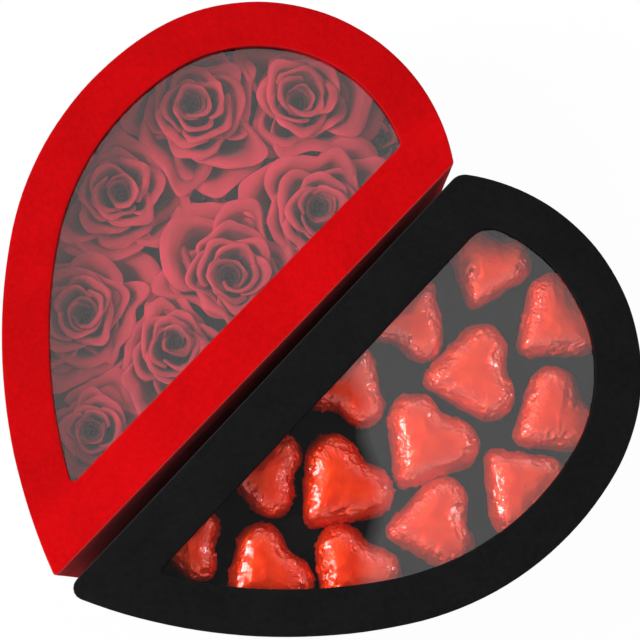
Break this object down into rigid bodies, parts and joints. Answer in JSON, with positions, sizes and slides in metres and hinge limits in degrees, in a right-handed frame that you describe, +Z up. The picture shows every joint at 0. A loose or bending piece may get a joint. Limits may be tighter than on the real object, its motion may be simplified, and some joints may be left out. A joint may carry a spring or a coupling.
{
  "type": "valentine heart box",
  "caption": "Velvet heart gift box split from tip to cleft into half-heart boxes with lift-off windowed lids; the red half holds roses, the black half foil-wrapped chocolate hearts.",
  "frame": {"origin": "middle of the whole heart's bounding box in plan, on the surface that it stands on", "axes": "+X across the heart from the red half to the black half, +Y along the split line from the tip to the cleft, +Z up"},
  "size_m": [0.2658, 0.2458, 0.105],
  "materials": {
    "red_velvet": "matte",
    "black_velvet": "matte",
    "grey_board": "matte",
    "black_paper": "matte",
    "clear_sheet": "gloss",
    "floral_foam": "matte",
    "rose_petal": "matte",
    "rose_stem": "matte",
    "riser_foam": "matte",
    "red_foil": "gloss",
    "chocolate": "satin"
  },
  "bodies": {
    "red_base": {"red_base_backing": "black_paper", "red_base_floor": "grey_board", "red_base_wall": "grey_board", "red_base_velvet": "red_velvet", "red_base_lining": "black_paper", "red_base_shell": "grey_board", "red_shell_velvet": "red_velvet", "floral_foam": "floral_foam", "rose_stems": "rose_stem", "rose_1": "rose_petal", "rose_2": "rose_petal", "rose_3": "rose_petal", "rose_4": "rose_petal", "rose_5": "rose_petal", "rose_6": "rose_petal", "rose_7": "rose_petal", "rose_8": "rose_petal", "rose_9": "rose_petal", "rose_10": "rose_petal"},
    "red_lid": {"red_lid_board": "grey_board", "red_lid_skirt": "grey_board", "red_lid_velvet": "red_velvet", "red_window": "clear_sheet"},
    "black_base": {"black_base_backing": "black_paper", "black_base_floor": "grey_board", "black_base_wall": "grey_board", "black_base_velvet": "black_velvet", "black_base_lining": "black_paper", "black_base_shell": "grey_board", "black_shell_velvet": "black_velvet", "foam_riser": "riser_foam", "platform_board": "black_paper", "foil_heart_1": "red_foil", "foil_heart_2": "red_foil", "foil_heart_3": "red_foil", "foil_heart_4": "red_foil", "foil_heart_5": "red_foil", "foil_heart_6": "red_foil", "foil_heart_7": "red_foil", "foil_heart_8": "red_foil", "foil_heart_9": "red_foil", "foil_heart_10": "red_foil", "foil_heart_11": "red_foil", "foil_heart_12": "red_foil", "foil_heart_13": "red_foil", "foil_heart_14": "red_foil", "chocolate_hearts": "chocolate"},
    "black_lid": {"black_lid_board": "grey_board", "black_lid_skirt": "grey_board", "black_lid_velvet": "black_velvet", "black_window": "clear_sheet"}
  },
  "joints": [
    {"name": "red_lid_lift", "type": "slide", "parent": "red_base", "child": "red_lid", "axis": [0, 0, 1], "range_m": [0, 0.1]},
    {"name": "black_half_slide", "type": "slide", "parent": "red_base", "child": "black_base", "axis": [1, 0, 0], "range_m": [-0.0037, 0.1]},
    {"name": "black_lid_lift", "type": "slide", "parent": "black_base", "child": "black_lid", "axis": [0, 0, 1], "range_m": [0, 0.1]}
  ]
}
